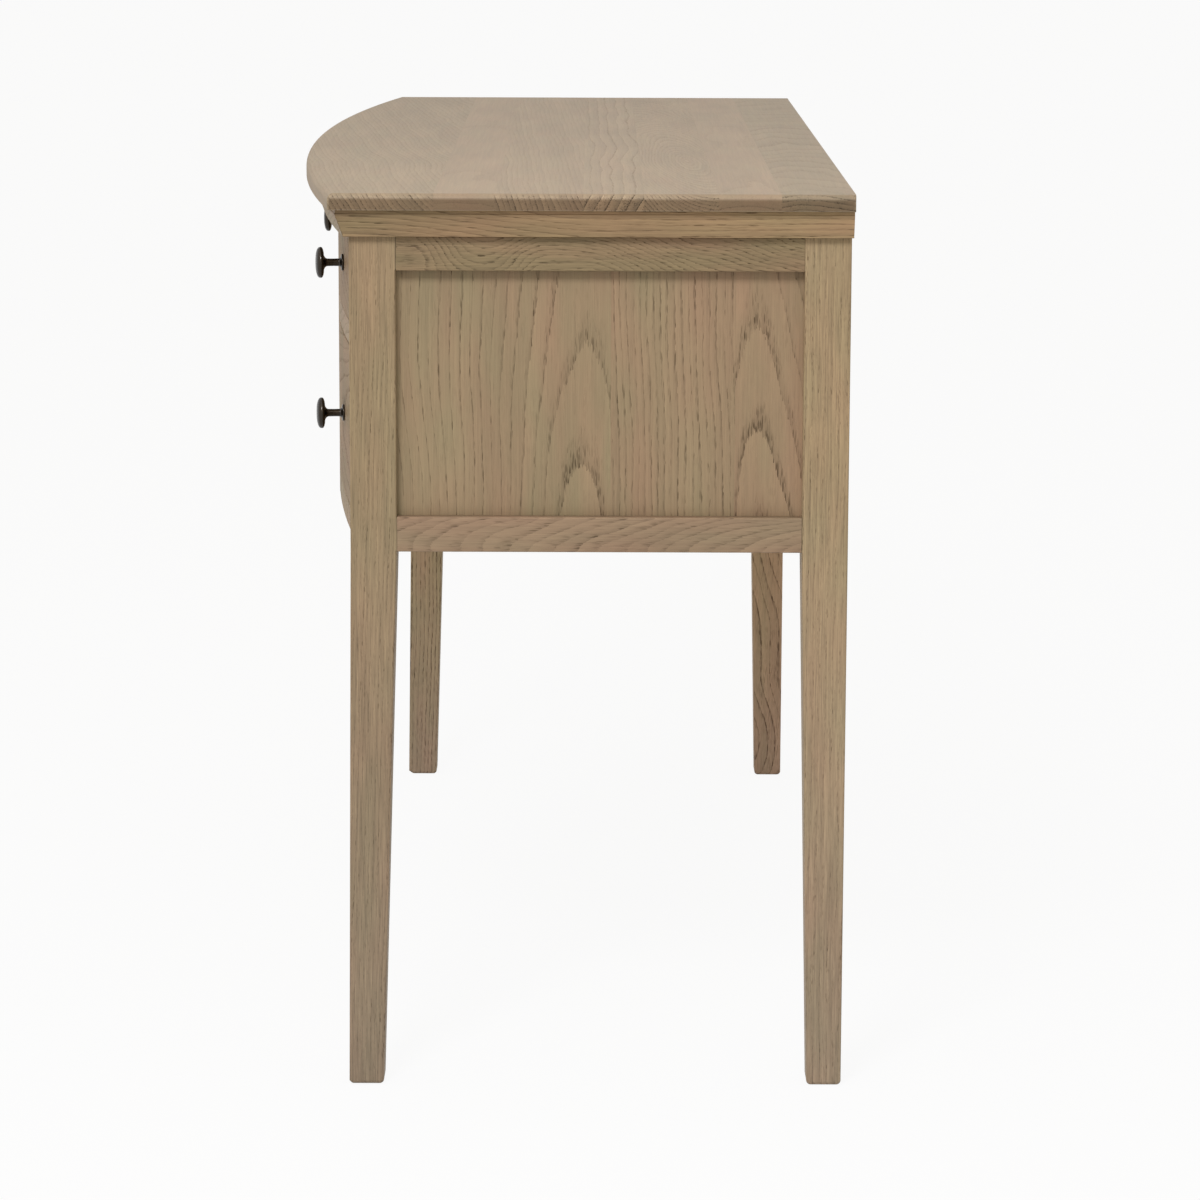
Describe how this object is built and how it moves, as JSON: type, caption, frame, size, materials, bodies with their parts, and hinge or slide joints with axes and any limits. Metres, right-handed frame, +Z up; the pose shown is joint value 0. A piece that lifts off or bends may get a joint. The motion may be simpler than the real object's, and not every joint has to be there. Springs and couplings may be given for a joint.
{
  "type": "dressing table",
  "caption": "Bow-fronted oak dressing table: drawers with turned knobs either side of a kneehole, a centre drawer, framed ends and tapered legs.",
  "frame": {"origin": "on the floor, below the middle of the bounding box", "axes": "+X along the length, +Y to the back, +Z up; the bow and the drawers face -Y"},
  "size_m": [1.25, 0.496, 0.782],
  "materials": {
    "limed_oak": "solid oak, limed and matt lacquered, open grain",
    "oak_veneer": "oak-faced board, limed and matt lacquered",
    "drawer_oak": "clear matt lacquer",
    "drawer_ply": "oak-faced plywood, clear matt lacquer",
    "dark_bronze": "dark bronze patina, satin"
  },
  "bodies": {
    "root": {"centre_back_panel": "oak_veneer", "centre_dust_board": "oak_veneer", "centre_rail": "limed_oak", "front_left_leg": "limed_oak", "front_moulding": "limed_oak", "front_right_leg": "limed_oak", "left_back_panel": "oak_veneer", "left_bottom_rail": "limed_oak", "left_divider": "limed_oak", "left_dust_board": "oak_veneer", "left_lower_side_rail": "limed_oak", "left_mid_rail": "limed_oak", "left_moulding": "limed_oak", "left_pedestal_floor": "oak_veneer", "left_side_panel": "oak_veneer", "left_upper_side_rail": "limed_oak", "rear_left_leg": "limed_oak", "rear_right_leg": "limed_oak", "rear_top_batten": "limed_oak", "right_back_panel": "oak_veneer", "right_bottom_rail": "limed_oak", "right_divider": "limed_oak", "right_dust_board": "oak_veneer", "right_lower_side_rail": "limed_oak", "right_mid_rail": "limed_oak", "right_moulding": "limed_oak", "right_pedestal_floor": "oak_veneer", "right_side_panel": "oak_veneer", "right_upper_side_rail": "limed_oak", "top_slab": "limed_oak"},
    "left_upper_drawer": {"left_upper_drawer_back": "drawer_oak", "left_upper_drawer_bottom": "drawer_ply", "left_upper_drawer_front": "limed_oak", "left_upper_drawer_knob": "dark_bronze", "left_upper_drawer_left_side": "drawer_oak", "left_upper_drawer_right_side": "drawer_oak"},
    "left_lower_drawer": {"left_lower_drawer_back": "drawer_oak", "left_lower_drawer_bottom": "drawer_ply", "left_lower_drawer_front": "limed_oak", "left_lower_drawer_knob": "dark_bronze", "left_lower_drawer_left_side": "drawer_oak", "left_lower_drawer_right_side": "drawer_oak"},
    "centre_drawer": {"centre_drawer_back": "drawer_oak", "centre_drawer_bottom": "drawer_ply", "centre_drawer_front": "limed_oak", "centre_drawer_knob": "dark_bronze", "centre_drawer_left_side": "drawer_oak", "centre_drawer_right_side": "drawer_oak"},
    "right_upper_drawer": {"right_upper_drawer_back": "drawer_oak", "right_upper_drawer_bottom": "drawer_ply", "right_upper_drawer_front": "limed_oak", "right_upper_drawer_knob": "dark_bronze", "right_upper_drawer_left_side": "drawer_oak", "right_upper_drawer_right_side": "drawer_oak"},
    "right_lower_drawer": {"right_lower_drawer_back": "drawer_oak", "right_lower_drawer_bottom": "drawer_ply", "right_lower_drawer_front": "limed_oak", "right_lower_drawer_knob": "dark_bronze", "right_lower_drawer_left_side": "drawer_oak", "right_lower_drawer_right_side": "drawer_oak"}
  },
  "joints": [
    {"name": "left_upper_drawer_slide", "type": "slide", "parent": "root", "child": "left_upper_drawer", "axis": [0, -1, 0], "range_m": [0, 0.3]},
    {"name": "left_lower_drawer_slide", "type": "slide", "parent": "root", "child": "left_lower_drawer", "axis": [0, -1, 0], "range_m": [0, 0.3]},
    {"name": "centre_drawer_slide", "type": "slide", "parent": "root", "child": "centre_drawer", "axis": [0, -1, 0], "range_m": [0, 0.3]},
    {"name": "right_upper_drawer_slide", "type": "slide", "parent": "root", "child": "right_upper_drawer", "axis": [0, -1, 0], "range_m": [0, 0.3]},
    {"name": "right_lower_drawer_slide", "type": "slide", "parent": "root", "child": "right_lower_drawer", "axis": [0, -1, 0], "range_m": [0, 0.3]}
  ]
}
